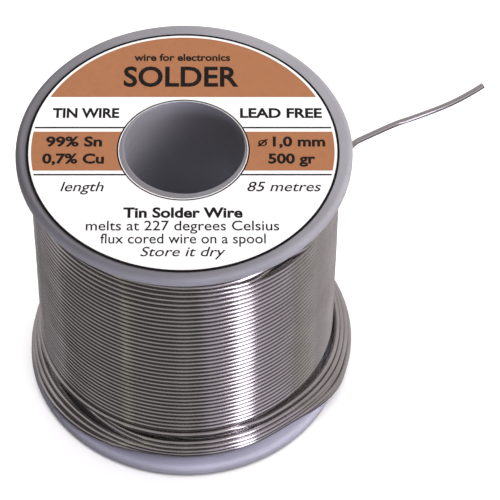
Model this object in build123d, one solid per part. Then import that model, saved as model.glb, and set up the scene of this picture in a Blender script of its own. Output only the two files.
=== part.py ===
from build123d import *
import math
import os

# A 500 g spool of 1.0 mm solder wire, standing on its lower flange.
# Millimetres, +Z up. The origin is on the bore's axis, level with the lower flange's outer face.

# The moulded spool
flange_radius = 28.0
flange_thickness = 2.4
flange_edge_rounding = 0.9
spool_height = 55.8
bore_radius = 10.0
bore_edge_rounding = 0.25
barrel_radius = 12.0

# The two halves of the spool meet at mid height, where a spigot on the lower half enters the upper one
joint_height = spool_height / 2
spigot_length = 4.0
spigot_radius = 10.95
spigot_clearance = 0.05

# Shallow marks left by the mould's ejector pins on the lower flange's outer face
ejector_mark_count = 4
ejector_mark_radius = 2.0
ejector_mark_depth = 0.15
ejector_circle_radius = 19.0

# The paper label on the upper flange, stuck on slightly off centre
label_radius = 25.95
label_hole_radius = 10.65
label_thickness = 0.15
label_centre = (-0.2, -0.6)
label_hole_centre = (-0.13, -0.68)

# The wire and how it lies on the spool
wire_diameter = 1.0
core_radius = 25.1
outer_layer_radius = 26.0
outer_layer_bottom = 8.8
outer_layer_top = 50.5

# The slack turns near the lower flange: an oval ring that bulges out to one side
slack_top = 8.6
slack_half_length = 28.8
slack_half_width = 27.4
slack_offset_x = 0.8
slack_top_rounding = 1.2

# The last turn of wire, and the free end that leaves it
last_turn_radius = 26.2
last_turn_height = 52.0
last_turn_start_angle = 95.0
last_turn_sweep = 255.0
tail_route = [
    (25.802, -4.550, 52.0),
    (26.670, 0.374, 52.0),
    (28.1, 4.2, 52.1),
    (32.0, 6.5, 52.4),
    (35.5, 8.6, 52.7),
    (38.0, 9.4, 53.0),
    (44.1, 11.8, 53.8),
    (48.2, 14.0, 54.6),
    (50.2, 15.4, 55.0),
]
corner_share = 0.45

# The flux that fills the hollow wire, shown where the free end is cut
flux_radius = 0.2
flux_length = 1.2

UPRIGHT = (Align.CENTER, Align.CENTER, Align.MIN)


def upright_cylinder(radius, bottom, top):
    """A solid cylinder on the spool's axis."""
    return Pos(0, 0, bottom) * Cylinder(radius, top - bottom, align=UPRIGHT)


def ring(inner_radius, outer_radius, bottom, top):
    """A solid ring on the spool's axis."""
    return upright_cylinder(outer_radius, bottom, top) - upright_cylinder(inner_radius, bottom, top)


def flange(bottom):
    """A disc with a well rounded edge."""
    disc = upright_cylinder(flange_radius, bottom, bottom + flange_thickness)
    return fillet(disc.edges().filter_by(GeomType.CIRCLE), flange_edge_rounding)


def round_bore_edge(half, height):
    """Round the mouth of the bore that lies at the given height."""
    mouth = (
        half.edges()
        .filter_by(GeomType.CIRCLE)
        .filter_by(lambda e: abs(e.radius - bore_radius) < 0.01)
        .filter_by(lambda e: abs(e.center().Z - height) < 0.01)
    )
    return fillet(mouth, bore_edge_rounding)


def spool_lower_half():
    """Lower flange, lower half of the barrel, and the spigot."""
    barrel = upright_cylinder(barrel_radius, flange_thickness, joint_height)
    spigot = upright_cylinder(spigot_radius, joint_height, joint_height + spigot_length)
    half = flange(0) + barrel + spigot
    half -= upright_cylinder(bore_radius, 0, spool_height)
    half = round_bore_edge(half, 0)
    mark = upright_cylinder(ejector_mark_radius, 0, ejector_mark_depth)
    for place in PolarLocations(ejector_circle_radius, ejector_mark_count, start_angle=45):
        half -= place * mark
    return half


def spool_upper_half():
    """Upper flange and upper half of the barrel, with the socket that takes the spigot."""
    barrel = upright_cylinder(barrel_radius, joint_height, spool_height - flange_thickness)
    half = barrel + flange(spool_height - flange_thickness)
    half -= upright_cylinder(bore_radius, joint_height, spool_height)
    socket_radius = spigot_radius + spigot_clearance
    socket_top = joint_height + spigot_length + spigot_clearance
    half -= upright_cylinder(socket_radius, joint_height, socket_top)
    return round_bore_edge(half, spool_height)


def top_label():
    """Ring of printed paper on the upper flange."""
    label_top = spool_height + label_thickness
    paper = Pos(*label_centre) * upright_cylinder(label_radius, spool_height, label_top)
    return paper - Pos(*label_hole_centre) * upright_cylinder(label_hole_radius, spool_height, label_top)


def wound_wire_core():
    """The inner layers of wire, which fill the spool from the barrel out."""
    return ring(barrel_radius, core_radius, flange_thickness, spool_height - flange_thickness)


def wound_wire_outer_layer():
    """The tight outermost layer, which stops short of the lower flange."""
    return ring(core_radius, outer_layer_radius, outer_layer_bottom, outer_layer_top)


def slack_turns():
    """The outer shape of the loose turns that have slipped off the bottom of the outer layer."""
    outline = Pos(slack_offset_x, 0, flange_thickness) * Ellipse(slack_half_length, slack_half_width)
    oval = extrude(outline, slack_top - flange_thickness)
    oval = fillet(oval.edges().group_by(Axis.Z)[-1], slack_top_rounding)
    return oval - upright_cylinder(core_radius, flange_thickness, slack_top)


def last_turn():
    """The last turn of wire, lying round the winding just under the upper flange."""
    section = Pos(last_turn_radius, 0, last_turn_height) * Rot(90, 0, 0) * Circle(wire_diameter / 2)
    turn = revolve(section, axis=Axis.Z, revolution_arc=last_turn_sweep)
    return Rot(0, 0, last_turn_start_angle) * turn


def corner_radii(route):
    """The largest tangent arc that the two runs beside each corner leave room for."""
    points = [Vector(*point) for point in route]
    radii = []
    for before, corner, after in zip(points, points[1:], points[2:]):
        arriving = corner - before
        leaving = after - corner
        half_turn = math.radians(arriving.get_angle(leaving)) / 2
        shorter = min(arriving.length, leaving.length)
        radii.append(corner_share * shorter / math.tan(half_turn))
    return radii


def wire_free_end():
    """The free end of the wire and the flux at its cut end."""
    radii = corner_radii(tail_route)
    path = FilletPolyline(*tail_route, radius=radii)
    section = Plane(origin=path @ 0, z_dir=path % 0) * Circle(wire_diameter / 2)
    tube = sweep(section, path=path)
    expected = math.pi * (wire_diameter / 2) ** 2 * path.length
    print("free end: length", round(path.length, 2), "radii", [round(r, 1) for r in radii])
    print("free end: volume", round(tube.volume, 3), "section times length", round(expected, 3))
    cut_end = Plane(origin=path @ 1, z_dir=(path % 1) * -1)
    flux = cut_end * Cylinder(flux_radius, flux_length, align=UPRIGHT)
    return tube - flux, flux


wire_tail, flux_core = wire_free_end()
nodes = {
    "spool_lower_half": spool_lower_half(),
    "spool_upper_half": spool_upper_half(),
    "top_label": top_label(),
    "wound_wire_core": wound_wire_core(),
    "wound_wire_outer_layer": wound_wire_outer_layer(),
    "slack_turns": slack_turns(),
    "last_turn": last_turn(),
    "wire_tail": wire_tail,
    "flux_core": flux_core,
}

os.makedirs("parts", exist_ok=True)
for name, shape in nodes.items():
    export_step(shape, f"parts/{name}.step")
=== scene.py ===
import math
import random

import bpy
import numpy as np
from mathutils import Matrix, Vector


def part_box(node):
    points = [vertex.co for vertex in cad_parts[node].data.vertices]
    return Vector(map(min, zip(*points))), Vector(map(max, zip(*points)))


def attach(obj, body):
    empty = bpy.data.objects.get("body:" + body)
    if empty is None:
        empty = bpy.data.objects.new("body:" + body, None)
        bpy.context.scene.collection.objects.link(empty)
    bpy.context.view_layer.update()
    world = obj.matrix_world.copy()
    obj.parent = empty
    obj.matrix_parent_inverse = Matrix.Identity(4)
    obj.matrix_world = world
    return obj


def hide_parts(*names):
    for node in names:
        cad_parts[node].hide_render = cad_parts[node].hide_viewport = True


# A spool of solder wire. Lengths are in metres, and a length written in millimetres is multiplied by MM.
# Azimuths are in degrees round the spool's axis: 0 is +X, -90 is the front, seen from above they grow
# counter-clockwise, and the wire climbs the same way.

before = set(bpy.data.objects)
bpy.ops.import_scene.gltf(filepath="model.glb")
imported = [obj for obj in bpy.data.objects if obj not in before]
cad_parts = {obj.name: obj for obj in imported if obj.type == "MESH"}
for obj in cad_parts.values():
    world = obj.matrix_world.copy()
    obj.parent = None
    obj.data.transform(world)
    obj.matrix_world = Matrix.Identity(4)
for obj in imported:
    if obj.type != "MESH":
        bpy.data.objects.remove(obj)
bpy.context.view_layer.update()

MM = 0.001
FULL_TURN = 2 * math.pi
draw = random.Random(5)

# ---------------------------------------------------------------- sizes, from the CAD frame
label_low, label_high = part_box("top_label")
label_centre = (label_low + label_high) / 2
core_low, core_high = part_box("wound_wire_core")
layer_low, layer_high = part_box("wound_wire_outer_layer")
wire_radius = 0.5 * MM
barrel_radius = 12 * MM
layer_radius = layer_high.x - wire_radius

# ---------------------------------------------------------------- camera
camera_target = Vector((11.16, 0.14, 28.54)) * MM
camera_distance = 492.5 * MM
camera_elevation = math.radians(51.26)
camera_roll = 0.015
camera_lens = 204.7


def add_camera():
    """The photographer's view: from the front, well above, with a long lens."""
    data = bpy.data.cameras.new("camera")
    data.lens = camera_lens
    data.sensor_width = 36
    data.clip_start = 0.01
    data.clip_end = 20
    camera = bpy.data.objects.new("camera", data)
    bpy.context.scene.collection.objects.link(camera)
    back = Vector((0, -math.cos(camera_elevation), math.sin(camera_elevation)))
    place = Matrix.Translation(camera_target + back * camera_distance)
    tilt = Matrix.Rotation(math.pi / 2 - camera_elevation, 4, "X")
    camera.matrix_world = place @ tilt @ Matrix.Rotation(camera_roll, 4, "Z")
    bpy.context.scene.camera = camera


# ---------------------------------------------------------------- light and floor
room_radiance = 0.3
room_colour = (1.03, 0.965, 0.985, 1)
wall_radiance = 0.18
wall_azimuth = 75
near_bench_radiance = 0.05
far_bench_radiance = 0.45
floor_half_width = 1.5
floor_level = -0.1 * MM
softbox_aim = Vector((0, 0, 0.03))


def add_floor(material):
    """A wide pale floor just under the spool, so that it does not coincide with the flange's outer face."""
    half = floor_half_width
    level = floor_level
    mesh = bpy.data.meshes.new("floor")
    corners = [(-half, -half, level), (half, -half, level), (half, half, level), (-half, half, level)]
    mesh.from_pydata(corners, [], [(0, 1, 2, 3)])
    floor = bpy.data.objects.new("floor", mesh)
    mesh.materials.append(material)
    bpy.context.scene.collection.objects.link(floor)
    floor.visible_glossy = False
    return floor


def add_softbox(name, azimuth, elevation, distance, width, height, radiance, colour, only=None):
    """A rectangular light that faces the spool, in metres and degrees.

    With only, it lights just those objects, and it shows in no reflection unless that is set again.
    """
    data = bpy.data.lights.new(name, "AREA")
    data.shape = "RECTANGLE"
    data.size = width
    data.size_y = height
    data.energy = radiance * math.pi * width * height
    data.color = colour
    light = bpy.data.objects.new(name, data)
    bpy.context.scene.collection.objects.link(light)
    turn = math.radians(azimuth)
    rise = math.radians(elevation)
    outward = Vector((math.cos(turn) * math.cos(rise), math.sin(turn) * math.cos(rise), math.sin(rise)))
    light.location = softbox_aim + outward * distance
    light.rotation_mode = "QUATERNION"
    light.rotation_quaternion = outward.to_track_quat("Z", "Y")
    light.visible_camera = False
    if only:
        light.visible_glossy = False
        receivers = bpy.data.collections.new(name + "_receivers")
        for lit in only:
            receivers.objects.link(lit)
        light.light_linking.receiver_collection = receivers
    return light


def leave_out(light, piece):
    """Keeps a light off one piece."""
    receivers = bpy.data.collections.new(light.name + "_left_out")
    receivers.objects.link(piece)
    receivers.collection_objects[0].light_linking.link_state = "EXCLUDE"
    light.light_linking.receiver_collection = receivers


def add_bore_lamp():
    """A weak lamp inside the bore, whose wall would otherwise be too dark in its lower half."""
    data = bpy.data.lights.new("bore_lamp", "POINT")
    data.energy = 0.0016
    data.color = (0.96, 0.95, 1.12)
    data.shadow_soft_size = 1 * MM
    light = bpy.data.objects.new("bore_lamp", data)
    bpy.context.scene.collection.objects.link(light)
    light.location = Vector((3.5, -3.5, 37)) * MM
    light.visible_camera = False
    light.visible_glossy = False


def add_world():
    """An even room, a bright wall behind the spool, and a bench that is bright only on that side."""
    world = bpy.data.worlds.new("studio")
    bpy.context.scene.world = world
    world.use_nodes = True
    graph = Graph(world.node_tree)
    background = graph.node("ShaderNodeBackground")
    direction = graph.node("ShaderNodeTexCoord").outputs["Generated"]
    height = graph.separate(direction)[2]
    turned = graph.mapping(direction, rotation=(0, 0, math.radians(90 - wall_azimuth)))
    toward_wall = graph.separate(turned)[1]
    facing = graph.math("MAXIMUM", toward_wall, 0)
    far_side = graph.spread(toward_wall, -0.1, 0.6, 0, 1)
    below_top = graph.spread(height, 0.62, 0.9, wall_radiance, 0.05)
    bright = graph.math("ADD", room_radiance, graph.math("MULTIPLY", facing, below_top))
    above = graph.spread(height, 0.12, 0.44, 0, 1)
    below = graph.math("MULTIPLY", graph.math("SUBTRACT", 1, above), far_bench_radiance)
    bench = graph.math("ADD", near_bench_radiance, graph.math("MULTIPLY", below, far_side))
    total = graph.math("ADD", bench, graph.math("MULTIPLY", above, bright))
    tinted = graph.mix(total, (0, 0, 0, 1), room_colour)
    graph.link(tinted, background.inputs["Color"])
    output = graph.node("ShaderNodeOutputWorld")
    graph.link(background.outputs[0], output.inputs["Surface"])


# ---------------------------------------------------------------- shader graphs
class Graph:
    """Short names for building a node tree."""

    def __init__(self, tree):
        self.tree = tree
        tree.nodes.clear()

    def node(self, kind, **settings):
        made = self.tree.nodes.new(kind)
        for name, value in settings.items():
            setattr(made, name, value)
        return made

    def link(self, source, target):
        self.tree.links.new(source, target)

    def feed(self, socket, value):
        if isinstance(value, bpy.types.NodeSocket):
            self.link(value, socket)
        else:
            socket.default_value = value

    def math(self, operation, first, second=0.0):
        made = self.node("ShaderNodeMath", operation=operation)
        self.feed(made.inputs[0], first)
        self.feed(made.inputs[1], second)
        return made.outputs[0]

    def separate(self, vector):
        made = self.node("ShaderNodeSeparateXYZ")
        self.link(vector, made.inputs[0])
        return made.outputs

    def mapping(self, vector, scale=(1, 1, 1), rotation=(0, 0, 0), location=(0, 0, 0)):
        made = self.node("ShaderNodeMapping")
        self.link(vector, made.inputs["Vector"])
        made.inputs["Scale"].default_value = scale
        made.inputs["Rotation"].default_value = rotation
        made.inputs["Location"].default_value = location
        return made.outputs[0]

    def noise(self, vector, scale, detail=3.0, roughness=0.5):
        made = self.node("ShaderNodeTexNoise")
        self.link(vector, made.inputs["Vector"])
        made.inputs["Scale"].default_value = scale
        made.inputs["Detail"].default_value = detail
        made.inputs["Roughness"].default_value = roughness
        return made.outputs["Fac"]

    def spread(self, value, low_in, high_in, low_out, high_out):
        made = self.node("ShaderNodeMapRange")
        self.link(value, made.inputs["Value"])
        for socket, number in zip(made.inputs[1:5], (low_in, high_in, low_out, high_out)):
            socket.default_value = number
        return made.outputs[0]

    def mix(self, share, first, second):
        made = self.node("ShaderNodeMix", data_type="RGBA")
        self.feed(made.inputs["Factor"], share)
        self.feed(made.inputs["A"], first)
        self.feed(made.inputs["B"], second)
        return made.outputs["Result"]

    def between(self, value, low, high):
        return self.math(
            "MULTIPLY", self.math("GREATER_THAN", value, low), self.math("LESS_THAN", value, high)
        )

    def bump(self, height, strength, distance):
        made = self.node("ShaderNodeBump")
        made.inputs["Strength"].default_value = strength
        made.inputs["Distance"].default_value = distance
        self.link(height, made.inputs["Height"])
        return made.outputs[0]

    def surface(self, **inputs):
        """A Principled shader as the surface. In the names of its sockets, _ stands for a space."""
        shader = self.node("ShaderNodeBsdfPrincipled")
        for name, value in inputs.items():
            self.feed(shader.inputs[name.replace("_", " ")], value)
        output = self.node("ShaderNodeOutputMaterial")
        self.link(shader.outputs[0], output.inputs["Surface"])
        return shader


def new_material(name):
    material = bpy.data.materials.new(name)
    material.use_nodes = True
    return material, Graph(material.node_tree)


def spool_plastic():
    """Grey moulded plastic with a satin skin: cloudy flow marks, fine grain and a few rub marks."""
    material, graph = new_material("grey_moulded_plastic")
    place = graph.node("ShaderNodeTexCoord").outputs["Object"]
    clouds = graph.noise(place, 70, 4)
    grain = graph.noise(place, 2600, 2)
    rubs = graph.noise(graph.mapping(place, scale=(1, 1, 6)), 240, 5, 0.65)
    cloudiness = graph.spread(clouds, 0.35, 0.65, 0, 1)
    colour = graph.mix(cloudiness, (0.150, 0.148, 0.158, 1), (0.170, 0.168, 0.178, 1))
    height = graph.math("ADD", grain, graph.math("MULTIPLY", rubs, 0.6))
    graph.surface(
        Base_Color=colour,
        Roughness=graph.spread(rubs, 0.35, 0.7, 0.38, 0.52),
        IOR=1.47,
        Normal=graph.bump(height, 0.35, 0.00003),
    )
    return material


def solder_metal():
    """Drawn tin alloy: bright, with fine drawing lines along the wire and a slight uneven tarnish."""
    material, graph = new_material("drawn_tin_alloy")
    coordinates = graph.node("ShaderNodeTexCoord")
    place = coordinates.outputs["Object"]
    along = coordinates.outputs["UV"]
    lines = graph.noise(graph.mapping(along, scale=(60, 9000, 1)), 1, 3)
    tarnish = graph.noise(place, 130, 5, 0.6)
    pits = graph.noise(place, 1500, 3)
    dulled = graph.spread(tarnish, 0.35, 0.7, 0, 1)
    colour = graph.mix(dulled, (0.71, 0.68, 0.675, 1), (0.60, 0.565, 0.555, 1))
    rough = graph.spread(tarnish, 0.3, 0.7, 0.12, 0.2)
    height = graph.math("ADD", lines, graph.math("MULTIPLY", pits, 0.5))
    graph.surface(
        Base_Color=colour,
        Metallic=1.0,
        Roughness=rough,
        Normal=graph.bump(height, 0.15, 0.000008),
    )
    return material


def flux_resin():
    """Amber rosin."""
    material, graph = new_material("amber_flux_resin")
    place = graph.node("ShaderNodeTexCoord").outputs["Object"]
    flecks = graph.noise(place, 6000, 3)
    colour = graph.mix(graph.spread(flecks, 0.3, 0.7, 0, 1), (0.40, 0.20, 0.04, 1), (0.60, 0.36, 0.10, 1))
    graph.surface(Base_Color=colour, Roughness=0.35, Normal=graph.bump(flecks, 0.4, 0.00002))
    return material


# The print on the label, in millimetres from the label's centre
print_turn = math.radians(1.14)
hole_centre = (-0.13, -0.72)
outer_ring_inner = 25.55
white_ring_inner = 25.12
inner_ring_outer = 11.02
inner_ring_inner = 10.76
cap_bottom = 11.49
band_top = 3.78
band_bottom = -4.73
rule_heights = (4.67, -5.60)
rule_width = 0.33
paper_white = (0.90, 0.90, 0.89, 1)
ink_brown = (0.365, 0.155, 0.072, 1)
ink_black = (0.006, 0.005, 0.005, 1)


def distance_from(graph, place, centre):
    """The distance from a point of the label's plane, and the place measured from it, in millimetres."""
    moved = graph.mapping(place, location=(-centre[0], -centre[1], 0))
    flat = graph.mapping(moved, scale=(1000, 1000, 0), rotation=(0, 0, -print_turn))
    length = graph.node("ShaderNodeVectorMath", operation="LENGTH")
    graph.link(flat, length.inputs[0])
    return length.outputs["Value"], flat


def label_print():
    """White paper with brown bands, black rules and black rings, under a thin varnish."""
    material, graph = new_material("printed_label_paper")
    place = graph.node("ShaderNodeTexCoord").outputs["Object"]
    radius, flat = distance_from(graph, place, label_centre)
    hole_radius = distance_from(graph, place, [c * MM for c in hole_centre])[0]
    across = graph.separate(flat)[1]
    mottle = graph.noise(place, 900, 4, 0.6)
    fibres = graph.noise(graph.mapping(place, scale=(1, 2.5, 1)), 3200, 3, 0.6)
    deep_brown = tuple(c * 1.1 for c in ink_brown[:3]) + (1,)
    brown = graph.mix(graph.spread(mottle, 0.3, 0.7, 0, 1), ink_brown, deep_brown)
    inside = graph.math("LESS_THAN", radius, white_ring_inner)
    cap = graph.math("GREATER_THAN", across, cap_bottom)
    band = graph.between(across, band_bottom, band_top)
    colour = graph.mix(graph.math("MULTIPLY", inside, graph.math("MAXIMUM", cap, band)), paper_white, brown)
    for height in rule_heights:
        rule = graph.between(across, height - rule_width / 2, height + rule_width / 2)
        colour = graph.mix(graph.math("MULTIPLY", inside, rule), colour, ink_black)
    rim = graph.math("GREATER_THAN", radius, outer_ring_inner)
    hole = graph.between(hole_radius, inner_ring_inner, inner_ring_outer)
    colour = graph.mix(graph.math("MAXIMUM", rim, hole), colour, ink_black)
    colour = graph.mix(graph.math("LESS_THAN", hole_radius, inner_ring_inner), colour, paper_white)
    graph.surface(
        Base_Color=colour,
        Roughness=graph.spread(mottle, 0.3, 0.7, 0.42, 0.55),
        Specular_IOR_Level=0.15,
        Normal=graph.bump(fibres, 0.2, 0.00002),
    )
    return material


def printing_ink():
    """Black ink, slightly glossier than the paper."""
    material, graph = new_material("black_printing_ink")
    place = graph.node("ShaderNodeTexCoord").outputs["Object"]
    mottle = graph.noise(place, 2500, 3)
    colour = graph.mix(graph.spread(mottle, 0.3, 0.7, 0, 1), ink_black, (0.016, 0.014, 0.013, 1))
    normal = graph.bump(mottle, 0.15, 0.00001)
    graph.surface(Base_Color=colour, Roughness=0.42, Specular_IOR_Level=0.12, Normal=normal)
    return material


def floor_paint():
    """A plain pale studio floor."""
    material, graph = new_material("pale_studio_floor")
    place = graph.node("ShaderNodeTexCoord").outputs["Object"]
    clouds = graph.noise(place, 6, 2)
    colour = graph.mix(graph.spread(clouds, 0.3, 0.7, 0, 1), (0.93, 0.93, 0.93, 1), (0.95, 0.95, 0.95, 1))
    graph.surface(Base_Color=colour, Roughness=0.8, Specular_IOR_Level=0.1)
    return material


# ---------------------------------------------------------------- meshes
def smooth_step(value, start, end):
    """0 before start, 1 after end, and an even curve in between."""
    share = np.clip((value - start) / (end - start), 0, 1)
    return share * share * (3 - 2 * share)


def on_axis(azimuth_degrees, radius, height):
    """Points round the spool's axis."""
    angle = np.radians(azimuth_degrees)
    ones = np.ones_like(angle)
    return np.stack([radius * np.cos(angle), radius * np.sin(angle), height * ones], axis=1)


def tube_parts(path, radius, sides):
    """Vertices, faces and a (length, girth) coordinate per vertex of a round wire with capped ends."""
    path = np.asarray(path, float)
    count = len(path)
    tangent = np.gradient(path, axis=0)
    tangent /= np.linalg.norm(tangent, axis=1)[:, None]
    outward = np.cross(tangent, (0, 0, 1))
    outward /= np.linalg.norm(outward, axis=1)[:, None]
    upward = np.cross(outward, tangent)
    angle = np.arange(sides) * FULL_TURN / sides
    ring = np.cos(angle)[None, :, None] * outward[:, None] + np.sin(angle)[None, :, None] * upward[:, None]
    vertices = (path[:, None] + radius * ring).reshape(-1, 3)
    steps = np.linalg.norm(np.diff(path, axis=0), axis=1)
    length = np.concatenate([[0], np.cumsum(steps)])
    faces = []
    coordinates = []
    for i in range(count - 1):
        for j in range(sides):
            k = (j + 1) % sides
            faces.append((i * sides + j, i * sides + k, (i + 1) * sides + k, (i + 1) * sides + j))
            low = j * radius * FULL_TURN / sides
            high = (j + 1) * radius * FULL_TURN / sides
            coordinates += [(length[i], low), (length[i], high), (length[i + 1], high), (length[i + 1], low)]
    faces.append(tuple(range(sides))[::-1])
    last = (count - 1) * sides
    faces.append(tuple(range(last, last + sides)))
    coordinates += [(0, 0)] * (2 * sides)
    return vertices, faces, coordinates


def ring_parts(inner, outer, bottom, top, sides, first_vertex):
    """A closed square ring round the axis, as vertices, faces and coordinates."""
    angle = np.arange(sides) * FULL_TURN / sides
    corners = [(inner, bottom), (outer, bottom), (outer, top), (inner, top)]
    loops = [np.stack([r * np.cos(angle), r * np.sin(angle), np.full(sides, z)], axis=1) for r, z in corners]
    faces = []
    for i in range(4):
        for j in range(sides):
            k = (j + 1) % sides
            a = first_vertex + i * sides
            b = first_vertex + (i + 1) % 4 * sides
            faces.append((a + j, a + k, b + k, b + j))
    return np.concatenate(loops), faces, [(0, 0)] * (4 * len(faces))


def new_mesh_piece(name, vertices, faces, coordinates, material, body, slot):
    """A smooth shaded mesh that rides on a body."""
    mesh = bpy.data.meshes.new(name)
    mesh.from_pydata(np.asarray(vertices).tolist(), [], faces)
    layer = mesh.uv_layers.new(name="UVMap")
    layer.data.foreach_set("uv", np.asarray(coordinates, np.float32).ravel())
    mesh.materials.append(material)
    mesh.shade_smooth()
    mesh.set_sharp_from_angle(angle=math.radians(50))
    piece = bpy.data.objects.new(name, mesh)
    bpy.context.scene.collection.objects.link(piece)
    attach(piece, body)
    return piece


# ---------------------------------------------------------------- the winding
def wave(phases, turn_share):
    """A smooth closed wave round one turn, from 0 to 1."""
    angle = turn_share * FULL_TURN
    total = sum(np.sin((n + 1) * angle + p) / (n + 1) for n, p in enumerate(phases))
    return 0.5 + 0.5 * np.clip(total / 1.6, -1, 1)


# The outermost layer. Its sides lie a little to the right, its top turns fan out at the front left, and
# they dip inward at the front right.
outer_turns = 37
outer_start_height = layer_low.z + 1.6 * MM
fanned_turns = 5
fan_gap = 0.2 * MM
fan_middle = 0.42
fan_reach = 0.24
shift_to_the_right = 0.12 * MM
dip_depth = 1.2 * MM

# The layer under it, which has sunk in at the foot on the left and at the top
inner_turns = 48
inner_radius = core_high.x - 0.55 * MM
foot_sink = 1.6 * MM
top_sink = 1.7 * MM
bulk_radius = inner_radius - 1.9 * MM


def random_phases(count):
    return [[draw.uniform(0, FULL_TURN) for _ in range(3)] for _ in range(count)]


def tight_layer(turns, steps, start_height, spare, radius, sink, fanned=0):
    """Centre line of tight turns that lie on each other, each a little uneven, from azimuth 90 upwards.

    The last fanned turns lie further apart around fan_middle, a share of a turn.
    """
    gap_phases = random_phases(turns + 1)
    depth_phases = random_phases(turns + 1)
    share = np.arange(steps) / steps
    base = np.full(steps, start_height)
    rows = []
    for turn in range(turns):
        gap = 2 * wire_radius + spare * (0.25 + 1.5 * wave(gap_phases[turn], share))
        if turn >= turns - fanned:
            gap = gap + fan_gap * smooth_step(np.abs(share - fan_middle), fan_reach, 0)
        this_wave = wave(depth_phases[turn], share)
        next_wave = wave(depth_phases[turn + 1], share)
        depth = sink * (this_wave * (1 - share) + next_wave * share)
        rows.append(on_axis(90 + 360 * share, radius - depth, base + gap * share))
        base = base + gap
    rows.append(on_axis(np.array([90.0]), radius, base[:1]))
    return np.concatenate(rows)


def dive(path, count, at_start, depth):
    """Bends the path's first or last points inward, so that the wire goes down into the winding."""
    path = path.copy()
    share = smooth_step(np.arange(count), count, 0)
    order = np.arange(count) if at_start else len(path) - 1 - np.arange(count)
    radius = np.linalg.norm(path[order, :2], axis=1)
    path[order, :2] *= (1 - depth * share / radius)[:, None]
    return path


def build_outer_layer(metal):
    """The outermost tight layer. Returns its centre line."""
    path = tight_layer(
        outer_turns, 192, outer_start_height, 0.05 * MM, layer_radius, 0.06 * MM, fanned_turns
    )
    path = dive(path, 7, False, 1.0 * MM)
    path[:, 0] += shift_to_the_right * np.clip(path[:, 0] / layer_radius, -1, 1) ** 2
    azimuth = np.degrees(np.arctan2(path[:, 1], path[:, 0]))
    dip = smooth_step(azimuth, -64, -50) * (1 - smooth_step(azimuth, -47, -36))
    dip *= smooth_step(path[:, 2], 47.9 * MM, 48.8 * MM)
    path[:, :2] *= (1 - dip_depth * dip / layer_radius)[:, None]
    piece = new_mesh_piece(
        "wound_wire_outer_turns", *tube_parts(path, wire_radius, 12), metal, "spool", "solder_wire"
    )
    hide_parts("wound_wire_outer_layer")
    return path


def build_inner_layers(metal):
    """The layer under it, whose turns show at the top and bottom, on the solid bulk of the winding."""
    path = tight_layer(inner_turns, 150, core_low.z + wire_radius, 0.04 * MM, inner_radius, 0.03 * MM)
    path[:, 0] *= -1
    on_left = smooth_step(-path[:, 0] / inner_radius, -0.1, 0.3)
    sunk = foot_sink * on_left * (1 - smooth_step(path[:, 2], 7.5 * MM, 9.5 * MM))
    sunk += top_sink * smooth_step(path[:, 2], 47.6 * MM, 49.2 * MM)
    path[:, :2] *= (1 - sunk / inner_radius)[:, None]
    vertices, faces, coordinates = tube_parts(path[::-1], wire_radius, 10)
    bulk = ring_parts(barrel_radius, bulk_radius, core_low.z, core_high.z, 96, len(vertices))
    piece = new_mesh_piece(
        "wound_wire_inner_turns", np.concatenate([vertices, bulk[0]]), faces + bulk[1],
        coordinates + bulk[2], metal, "spool", "solder_wire",
    )
    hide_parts("wound_wire_core")


# The slack turns, from the lowest up: radius and height in millimetres at the front, right and left
slack_front = [
    (25.5, 2.92), (25.8, 3.95), (26.6, 4.95), (26.8, 6.0), (26.75, 7.05), (26.5, 8.1), (25.95, 9.85),
]
slack_right = [
    (28.9, 2.95), (28.2, 3.75), (29.1, 4.5), (28.3, 5.3), (28.4, 6.35), (27.65, 7.2), (26.9, 8.75),
]
slack_left = [
    (27.4, 2.95), (25.0, 3.9), (27.0, 4.95), (26.3, 5.95), (24.4, 6.2), (24.4, 7.3), (25.95, 9.75),
]
top_slack_drop = 0.65 * MM


def slack_turn(front, right, left, azimuth, bulge_start, bulge_length):
    """Radius and height round one slack turn: it bulges on the right, and bulges or sinks in on the left."""
    bulge = smooth_step(azimuth, bulge_start, bulge_start + bulge_length) * (1 - smooth_step(azimuth, 25, 75))
    reach = 0.8 if left[0] < front[0] else 0.95
    swell = smooth_step(-np.cos(np.radians(azimuth)), 0.1, reach)
    radius = front[0] + (right[0] - front[0]) * bulge + (left[0] - front[0]) * swell
    height = front[1] + (right[1] - front[1]) * bulge + (left[1] - front[1]) * swell
    return radius * MM, height * MM


def build_slack_turns(metal, layer_start):
    """The loose turns at the foot, one running into the next behind the winding."""
    steps = 240
    turns = len(slack_front)
    azimuth = -270 + 360 * np.arange(steps) / steps
    bulge_starts = np.linspace(-50, -56, turns)
    bulge_lengths = np.linspace(34, 46, turns)
    ends = [
        slack_turn(*shape[:3], azimuth, *shape[3:])
        for shape in zip(slack_front, slack_right, slack_left, bulge_starts, bulge_lengths)
    ]
    top_radius, top_height = ends[-1]
    drop = top_slack_drop * smooth_step(azimuth, -70, -56) * (1 - smooth_step(azimuth, 25, 75))
    ends[-1] = (top_radius, top_height - drop)
    layer_radius_here = np.linalg.norm(layer_start[:2])
    ends.append((np.full(steps, layer_radius_here), np.full(steps, layer_start[2])))
    climb = smooth_step(azimuth, 25, 90)
    rows = []
    for turn in range(turns):
        radius = ends[turn][0] * (1 - climb) + ends[turn + 1][0] * climb
        height = ends[turn][1] * (1 - climb) + ends[turn + 1][1] * climb
        rows.append(on_axis(azimuth, radius, height))
    rows.append(np.asarray([layer_start]))
    path = dive(np.concatenate(rows), 10, True, 1.2 * MM)
    piece = new_mesh_piece(
        "slack_wire_turns", *tube_parts(path, wire_radius, 14), metal, "spool", "solder_wire"
    )
    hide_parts("slack_turns")


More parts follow.
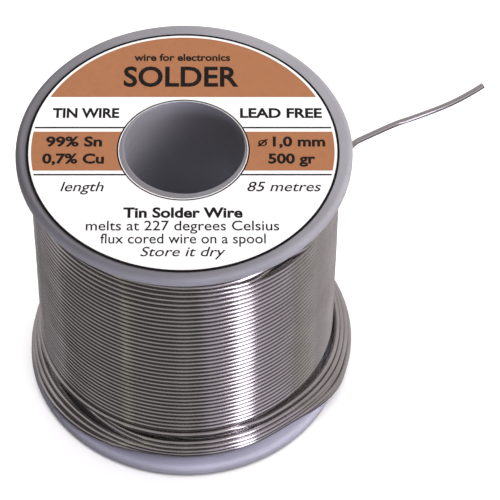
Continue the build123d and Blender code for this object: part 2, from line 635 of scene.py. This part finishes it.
# The route of the free end, in millimetres: it leaves the last turn, bends outward and rises a little
tail_points = [
    (25.802, -4.550, 52.0),
    (26.670, 0.374, 52.0),
    (27.7, 4.4, 52.0),
    (31.2, 6.3, 52.3),
    (35.5, 8.6, 52.7),
    (38.0, 9.4, 53.0),
    (44.1, 11.8, 53.8),
    (48.2, 14.0, 54.6),
    (50.17, 15.38, 54.99),
]


# The last turn: its height in millimetres at some azimuths. It dips at the front, where it shows under
# the rim, and is level again at the front right, where the turns below it dip inward.
last_turn_azimuths = [95, 150, 225, 250, 278, 288, 296, 306, 350]
last_turn_radius = 26.4
last_turn_heights = [50.6, 52.0, 52.1, 51.8, 51.4, 51.3, 51.5, 52.2, 52.0]


def build_last_turn(metal):
    """The last turn: it comes up behind, runs round the left and the front, then climbs to the free end."""
    azimuth = np.linspace(95, 350, 260)
    height = np.interp(azimuth, last_turn_azimuths, last_turn_heights)
    smoothed = np.convolve(np.pad(height, 12, "edge"), np.full(25, 1 / 25), "valid") * MM
    radius = (last_turn_radius - 0.2 * smooth_step(azimuth, 275, 315)) * MM
    path = dive(on_axis(azimuth, radius, smoothed), 14, True, 2.0 * MM)
    path[-1] = np.array(tail_points[0]) * MM
    piece = new_mesh_piece(
        "last_wire_turn", *tube_parts(path, wire_radius, 16), metal, "wire_end", "solder_wire"
    )
    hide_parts("last_turn")


def build_tail(metal):
    """The free end of the wire."""
    curve = bpy.data.curves.new("free_wire_end", "CURVE")
    curve.dimensions = "3D"
    spline = curve.splines.new("NURBS")
    spline.points.add(len(tail_points) - 1)
    for point, place in zip(spline.points, tail_points):
        point.co = (*(c * MM for c in place), 1)
    spline.order_u = 3
    spline.use_endpoint_u = True
    spline.resolution_u = 12
    curve.bevel_depth = wire_radius
    curve.bevel_resolution = 6
    curve.use_fill_caps = True
    curve.materials.append(metal)
    tail = bpy.data.objects.new("free_wire_end", curve)
    bpy.context.scene.collection.objects.link(tail)
    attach(tail, "wire_end")
    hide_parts("wire_tail")


# ---------------------------------------------------------------- the lettering
ink_lift = 0.006 * MM
ink_thickness = 0.008 * MM

# words, left and right ends, height of the line's middle, height of its capitals, weight, slant
lettering = [
    ("SOLDER", -10.1, 9.3, 16.1, 4.3, 0.022, 0.0),
    ("wire for electronics", -8.4, 7.9, 20.5, 1.5, 0.03, 0.0),
    ("TIN WIRE", -21.8, -10.7, 7.9, 2.0, 0.034, 0.0),
    ("LEAD FREE", 9.5, 23.2, 7.9, 2.0, 0.034, 0.0),
    ("99% Sn", -22.7, -13.4, 1.60, 2.0, 0.034, 0.0),
    ("0,7% Cu", -23.2, -13.0, -2.12, 2.0, 0.034, 0.0),
    ("o", 12.45, 13.95, 1.60, 2.0, 0.0, 0.0),
    ("/", 12.25, 14.15, 1.32, 1.5, 0.0, 0.0),
    ("1,0 mm", 14.9, 23.6, 1.60, 2.0, 0.034, 0.0),
    ("500 gr", 14.1, 21.9, -2.12, 2.0, 0.034, 0.0),
    ("length", -20.0, -12.9, -8.15, 2.0, 0.006, 0.25),
    ("85 metres", 10.6, 22.7, -8.15, 2.0, 0.006, 0.25),
    ("Tin Solder Wire", -9.6, 9.8, -13.68, 2.0, 0.034, 0.0),
    ("melts at 227 degrees Celsius", -15.6, 15.7, -16.4, 2.0, 0.006, 0.0),
    ("flux cored wire on a spool", -13.2, 13.5, -19.1, 2.0, 0.006, 0.0),
    ("Store it dry", -6.7, 7.0, -21.8, 1.9, 0.006, 0.25),
]


def flat_letters(words, weight, slant):
    """A thin plate for each letter, in font units."""
    curve = bpy.data.curves.new("letters", "FONT")
    curve.body = words
    curve.offset = weight
    curve.shear = slant
    curve.extrude = 0.5
    curve.resolution_u = 4
    holder = bpy.data.objects.new("letters", curve)
    bpy.context.scene.collection.objects.link(holder)
    bpy.context.view_layer.update()
    mesh = bpy.data.meshes.new_from_object(holder)
    points = np.array([v.co for v in mesh.vertices], float)
    faces = [tuple(p.vertices) for p in mesh.polygons]
    bpy.data.objects.remove(holder)
    bpy.data.meshes.remove(mesh)
    bpy.data.curves.remove(curve)
    return points, faces


def build_lettering(ink):
    """All the printed words, as one layer of ink on the label."""
    capital = flat_letters("H", 0, 0)[0][:, 1].max()
    vertices = []
    faces = []
    total = 0
    for words, left, right, middle, cap_height, weight, slant in lettering:
        points, outline = flat_letters(words, weight, slant)
        low = points[:, 0].min()
        high = points[:, 0].max()
        points[:, 0] = left + (points[:, 0] - low) * (right - left) / (high - low)
        points[:, 1] = middle + (points[:, 1] - capital / 2) * cap_height / capital
        points[:, :2] *= MM
        points[:, 2] = ink_lift + ink_thickness * (points[:, 2] + 0.5)
        vertices.append(points)
        faces += [tuple(v + total for v in face) for face in outline]
        total += len(points)
    placed = Matrix.Translation((label_centre.x, label_centre.y, label_high.z))
    placed = placed @ Matrix.Rotation(print_turn, 4, "Z")
    mesh = bpy.data.meshes.new("label_lettering")
    mesh.from_pydata(np.concatenate(vertices).tolist(), [], faces)
    mesh.transform(placed)
    mesh.materials.append(ink)
    piece = bpy.data.objects.new("label_lettering", mesh)
    bpy.context.scene.collection.objects.link(piece)
    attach(piece, "spool")


def paint(node, material):
    """Gives a CAD node its material."""
    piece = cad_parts[node]
    if piece.material_slots:
        piece.material_slots[0].material = material
    else:
        piece.data.materials.append(material)


# ---------------------------------------------------------------- the scene
bpy.context.scene.view_settings.view_transform = "Standard"
add_camera()
add_world()
floor = add_floor(floor_paint())
plastic = spool_plastic()
metal = solder_metal()
paint("spool_lower_half", plastic)
paint("spool_upper_half", plastic)
paint("top_label", label_print())
paint("flux_core", flux_resin())
outer_path = build_outer_layer(metal)
build_inner_layers(metal)
build_slack_turns(metal, outer_path[0])
build_last_turn(metal)
build_tail(metal)
build_lettering(printing_ink())

lower_half = [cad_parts["spool_lower_half"]]
upper_half = [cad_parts["spool_upper_half"]]
spool_parts = lower_half + upper_half
printed_parts = [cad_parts["top_label"], bpy.data.objects["label_lettering"]]
# The lights: the studio's soft lights, then fill light that reaches only some pieces
tail = bpy.data.objects["free_wire_end"]
key = add_softbox("key_softbox", -52.5, 16, 0.9, 0.16, 1.35, 3.2, (1.0, 0.94, 1.12))
leave_out(key, tail)
# The free end has a highlight at its bend alone, so it has a softbox of its own, which its metal shows.
bend_light = add_softbox("tail_softbox", -56.5, 0, 0.9, 0.07, 1.2, 2.5, (1.0, 0.94, 1.12), [tail])
bend_light.visible_glossy = True
add_softbox("key_halo", -48, 12, 1.0, 1.1, 1.2, 0.3, (1.0, 0.91, 1.1))
add_softbox("far_left_window", 175, 12, 1.0, 0.4, 1.2, 0.17, (1.0, 0.95, 1.0))
add_softbox("left_window", -126, 8, 1.0, 0.07, 0.4, 0.5, (0.95, 1.0, 0.6))
add_softbox("front_window", -90, 8, 1.0, 0.14, 0.26, 0.30, (0.9, 1.0, 0.7))
add_softbox("right_window", -9, 8, 1.0, 0.40, 0.26, 0.35, (1.0, 1.0, 0.8))
add_softbox("right_lamp", -7, 39, 0.11, 0.06, 0.06, 13, (1.0, 0.97, 1.0), spool_parts)
add_softbox("back_lamp", 76, 40, 0.108, 0.06, 0.06, 8.5, (1.0, 0.98, 1.0), spool_parts)
add_bore_lamp()
add_softbox("rim_lamp", -80, 12, 0.2, 0.1, 0.04, 23, (0.9, 0.9, 1.12), upper_half)
add_softbox("foot_lamp", -50, 35, 0.13, 0.08, 0.08, 20, (0.9, 0.88, 1.15), lower_half)
add_softbox("foot_side_lamp", -115, 20, 0.13, 0.08, 0.08, 4, (0.88, 0.88, 1.15), lower_half)
add_softbox("label_lamp", 60, 75, 0.6, 0.5, 0.5, 4.05, (1, 1, 1), printed_parts)
add_softbox("floor_lamp", 60, 80, 1.5, 2.5, 2.5, 2.9, (1, 1, 1), [floor])

bpy.context.view_layer.update()
